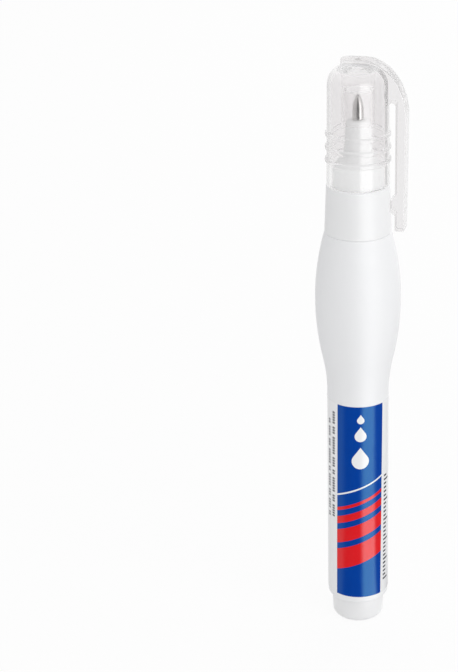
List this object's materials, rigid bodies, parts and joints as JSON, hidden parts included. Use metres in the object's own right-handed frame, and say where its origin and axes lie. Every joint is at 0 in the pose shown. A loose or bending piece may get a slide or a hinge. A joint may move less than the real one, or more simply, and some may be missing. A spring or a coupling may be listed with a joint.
{
  "type": "correction pen",
  "caption": "Squeeze correction pen with a bulged barrel, end plug, film label, needle-valve metal tip and a clear push-on cap with a pocket clip.",
  "frame": {"origin": "centre of the end plug's flat base, on which the pen stands", "axes": "+Z along the pen's axis towards the writing tip, +X towards the pocket clip"},
  "size_m": [0.0194, 0.0182, 0.1295],
  "materials": {
    "barrel_plastic": "satin white",
    "plug_plastic": "satin white",
    "label_film": "printed film",
    "white_fluid": "opaque liquid",
    "ball_steel": "ground",
    "collar_plastic": "satin white",
    "nose_plastic": "satin white",
    "tip_metal": "turned and polished",
    "needle_steel": "drawn wire",
    "spring_steel": "drawn wire",
    "retainer_plastic": "natural",
    "clear_plastic": "clear"
  },
  "bodies": {
    "barrel": {"squeeze_barrel": "barrel_plastic", "end_plug": "plug_plastic", "label_sleeve": "label_film", "correction_fluid": "white_fluid", "front_collar": "collar_plastic", "nose_cone": "nose_plastic", "metal_tip": "tip_metal", "spring_retainer": "retainer_plastic", "valve_spring": "spring_steel"},
    "cap": {"cap": "clear_plastic"},
    "needle": {"valve_needle": "needle_steel"},
    "ball": {"mixing_ball": "ball_steel"}
  },
  "joints": [
    {"name": "cap_pull", "type": "slide", "parent": "barrel", "child": "cap", "axis": [0, 0, 1], "range_m": [0, 0.045]},
    {"name": "needle_press", "type": "slide", "parent": "barrel", "child": "needle", "axis": [0, 0, -1], "range_m": [0, 0.0003], "stiffness_N_per_m": 900, "springref_m": -0.0004, "deforming": ["valve_spring"]},
    {"name": "ball_shake", "type": "slide", "parent": "barrel", "child": "ball", "axis": [0, 0, 1], "range_m": [0, 0.0939], "deforming": ["correction_fluid"]}
  ]
}
